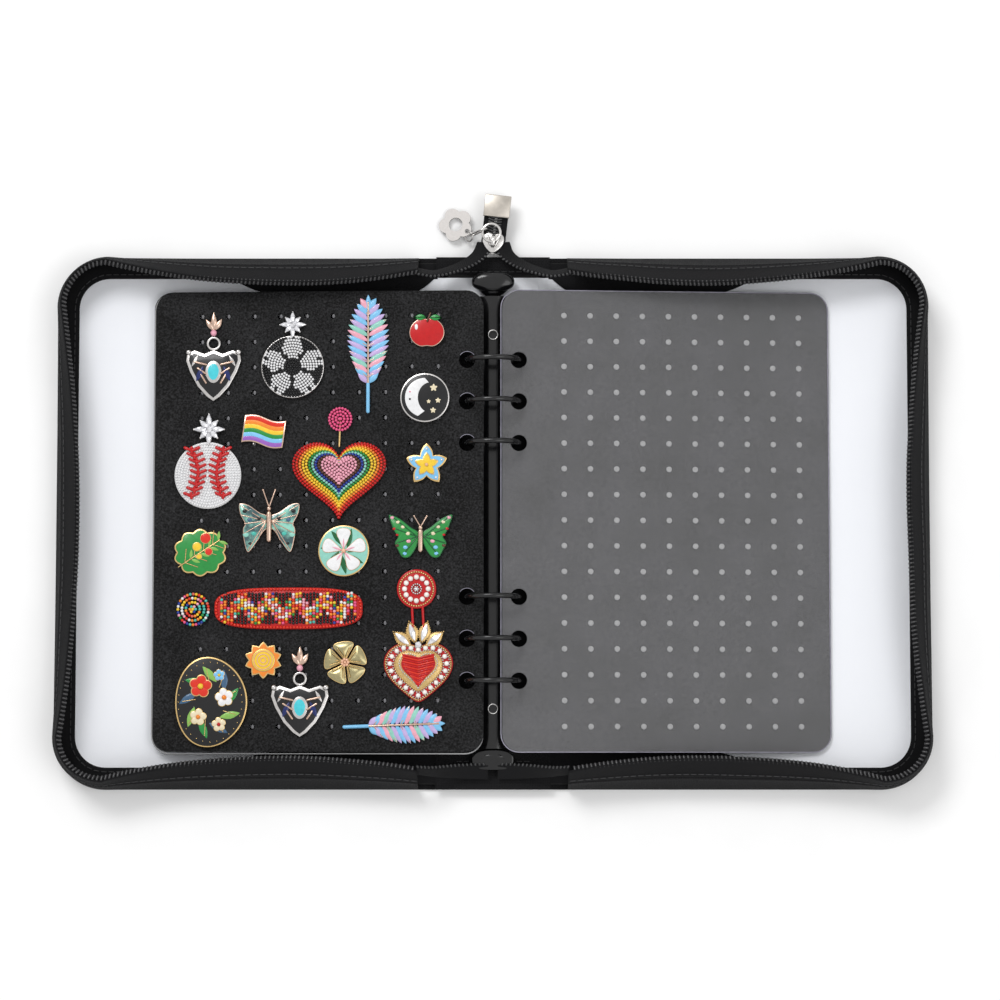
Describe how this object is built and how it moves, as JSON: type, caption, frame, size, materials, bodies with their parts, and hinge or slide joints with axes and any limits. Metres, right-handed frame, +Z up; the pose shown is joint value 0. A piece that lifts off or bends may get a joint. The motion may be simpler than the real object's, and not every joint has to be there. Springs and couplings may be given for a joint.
{
  "type": "pin display binder",
  "caption": "Zip-around ring binder with perforated pages for displaying pins, lying open on its back, with folding covers and opening rings.",
  "frame": {"origin": "middle of the spine's underside, on the surface the open binder lies on", "axes": "+X to the right cover, +Y towards the head of the spine, +Z up"},
  "size_m": [0.4, 0.2726, 0.0285],
  "materials": {
    "apple_pin": "enamel",
    "ball_pins": "enamel",
    "bead_bar_pin": "enamel",
    "bottom_lever": "gloss black",
    "butterfly_pins": "enamel",
    "chain_link": "bright nickel",
    "drop_pins": "enamel",
    "feather_pins": "enamel",
    "flag_pin": "enamel",
    "flower_charm": "bright nickel",
    "flower_pins": "enamel",
    "garden_disc_pin": "enamel",
    "jewel_heart_pin": "enamel",
    "jump_ring": "bright nickel",
    "leaf_pin": "enamel",
    "left_carrier": "gloss black",
    "left_clear_film": "frosted film",
    "left_cover_board": "grey board",
    "left_cover_fabric": "black woven oxford",
    "left_cover_lining": "white lining",
    "left_foot_strand": "black woven zip tape",
    "left_gusset": "black woven oxford",
    "left_half_rings": "gloss black",
    "left_head_strand": "black woven zip tape",
    "left_inner_binding": "black woven zip tape",
    "left_page_edge": "grained black sheet",
    "left_pin_page": "grained black sheet",
    "left_zip_tape": "black woven zip tape",
    "left_zip_teeth": "black nylon coil",
    "pin_clutches": "black rubber",
    "pull_ring": "bright nickel",
    "rainbow_heart_pin": "enamel",
    "right_carrier": "gloss black",
    "right_cover_board": "grey board",
    "right_cover_fabric": "black woven oxford",
    "right_cover_lining": "white lining",
    "right_foot_strand": "black woven zip tape",
    "right_frosted_film": "frosted film",
    "right_gusset": "black woven oxford",
    "right_half_rings": "gloss black",
    "right_head_strand": "black woven zip tape",
    "right_inner_binding": "black woven zip tape",
    "right_page_edge": "grey perforated sheet",
    "right_pin_page": "grey perforated sheet",
    "right_zip_tape": "black woven zip tape",
    "right_zip_teeth": "black nylon coil",
    "ring_housing": "gloss black",
    "rivets": "bright nickel",
    "sky_pins": "enamel",
    "slider_body": "bright nickel",
    "slider_bridge": "bright nickel",
    "spine_board": "grey board",
    "spine_end_panels": "black woven oxford",
    "spine_fabric": "black woven oxford",
    "spine_lining": "white lining",
    "tail_tapes": "black woven zip tape",
    "tail_teeth": "black nylon coil",
    "top_lever": "gloss black",
    "zip_end_clamp": "bright nickel"
  },
  "bodies": {
    "spine": {"spine_fabric": "spine_fabric", "spine_board": "spine_board", "spine_lining": "spine_lining", "spine_end_panels": "spine_end_panels", "tail_tapes": "tail_tapes", "tail_teeth": "tail_teeth", "zip_end_clamp": "zip_end_clamp", "ring_housing": "ring_housing", "rivets": "rivets", "left_head_strand": "left_head_strand", "right_head_strand": "right_head_strand", "left_foot_strand": "left_foot_strand", "right_foot_strand": "right_foot_strand"},
    "left_cover": {"left_cover_fabric": "left_cover_fabric", "left_cover_board": "left_cover_board", "left_cover_lining": "left_cover_lining", "left_inner_binding": "left_inner_binding", "left_gusset": "left_gusset", "left_zip_tape": "left_zip_tape", "left_zip_teeth": "left_zip_teeth"},
    "right_cover": {"right_cover_fabric": "right_cover_fabric", "right_cover_board": "right_cover_board", "right_cover_lining": "right_cover_lining", "right_inner_binding": "right_inner_binding", "right_gusset": "right_gusset", "right_zip_tape": "right_zip_tape", "right_zip_teeth": "right_zip_teeth"},
    "left_page_set": {"left_pin_page": "left_pin_page", "left_page_edge": "left_page_edge", "left_clear_film": "left_clear_film", "pin_clutches": "pin_clutches", "apple_pin": "apple_pin", "ball_pins": "ball_pins", "bead_bar_pin": "bead_bar_pin", "butterfly_pins": "butterfly_pins", "drop_pins": "drop_pins", "feather_pins": "feather_pins", "flag_pin": "flag_pin", "flower_pins": "flower_pins", "garden_disc_pin": "garden_disc_pin", "jewel_heart_pin": "jewel_heart_pin", "leaf_pin": "leaf_pin", "rainbow_heart_pin": "rainbow_heart_pin", "sky_pins": "sky_pins"},
    "right_page_set": {"right_pin_page": "right_pin_page", "right_page_edge": "right_page_edge", "right_frosted_film": "right_frosted_film"},
    "left_ring_set": {"left_carrier": "left_carrier", "left_half_rings": "left_half_rings"},
    "right_ring_set": {"right_carrier": "right_carrier", "right_half_rings": "right_half_rings"},
    "head_lever": {"top_lever": "top_lever"},
    "foot_lever": {"bottom_lever": "bottom_lever"},
    "slider": {"slider_body": "slider_body", "slider_bridge": "slider_bridge"},
    "pull": {"pull_ring": "pull_ring"},
    "chain": {"chain_link": "chain_link"},
    "charm": {"jump_ring": "jump_ring", "flower_charm": "flower_charm"}
  },
  "joints": [
    {"name": "left_cover_fold", "type": "hinge", "parent": "spine", "child": "left_cover", "pos_m": [-0.022, 0, 0.0004], "axis": [0, 1, 0], "range_deg": [0, 90], "deforming": ["left_head_strand", "left_foot_strand"]},
    {"name": "right_cover_fold", "type": "hinge", "parent": "spine", "child": "right_cover", "pos_m": [0.022, 0, 0.0004], "axis": [0, -1, 0], "range_deg": [0, 90], "deforming": ["right_head_strand", "right_foot_strand"]},
    {"name": "left_page_turn", "type": "hinge", "parent": "spine", "child": "left_page_set", "pos_m": [-0.0007, 0, 0.0156], "axis": [0, 1, 0], "range_deg": [0, 88.65]},
    {"name": "right_page_turn", "type": "hinge", "parent": "spine", "child": "right_page_set", "pos_m": [0.0007, 0, 0.0156], "axis": [0, -1, 0], "range_deg": [0, 88.65]},
    {"name": "left_rings_open", "type": "hinge", "parent": "spine", "child": "left_ring_set", "pos_m": [-0.0075, 0, 0.0042], "axis": [0, -1, 0], "range_deg": [0, 6]},
    {"name": "right_rings_open", "type": "hinge", "parent": "spine", "child": "right_ring_set", "pos_m": [0.0075, 0, 0.0042], "axis": [0, 1, 0], "range_deg": [0, 6]},
    {"name": "head_lever_press", "type": "hinge", "parent": "spine", "child": "head_lever", "pos_m": [0, 0.1035, 0.0054], "axis": [-1, 0, 0], "range_deg": [0, 9]},
    {"name": "foot_lever_press", "type": "hinge", "parent": "spine", "child": "foot_lever", "pos_m": [0, -0.1035, 0.0054], "axis": [1, 0, 0], "range_deg": [0, 9]},
    {"name": "slider_run", "type": "slide", "parent": "spine", "child": "slider", "axis": [0.1149, 0.9934, 0], "range_m": [0, 0.006]},
    {"name": "pull_ring_flip", "type": "hinge", "parent": "slider", "child": "pull", "pos_m": [0.00007, 0.1284, 0.011], "axis": [0.9934, -0.1149, 0], "range_deg": [0, 60]},
    {"name": "chain_swing", "type": "hinge", "parent": "pull", "child": "chain", "pos_m": [-0.00467, 0.13368, 0.011], "axis": [0, 0, 1], "range_deg": [-8, 8]},
    {"name": "charm_swing", "type": "hinge", "parent": "chain", "child": "charm", "pos_m": [-0.00968, 0.13233, 0.00524], "axis": [0, 0, 1], "range_deg": [-8, 8]}
  ],
  "couplings": [
    {"joint": "left_page_turn", "follows": "left_cover_fold", "ratio": 0.985},
    {"joint": "right_page_turn", "follows": "right_cover_fold", "ratio": 0.985},
    {"joint": "right_rings_open", "follows": "left_rings_open", "ratio": 1},
    {"joint": "head_lever_press", "follows": "left_rings_open", "ratio": 1.3},
    {"joint": "foot_lever_press", "follows": "left_rings_open", "ratio": 1.3}
  ]
}
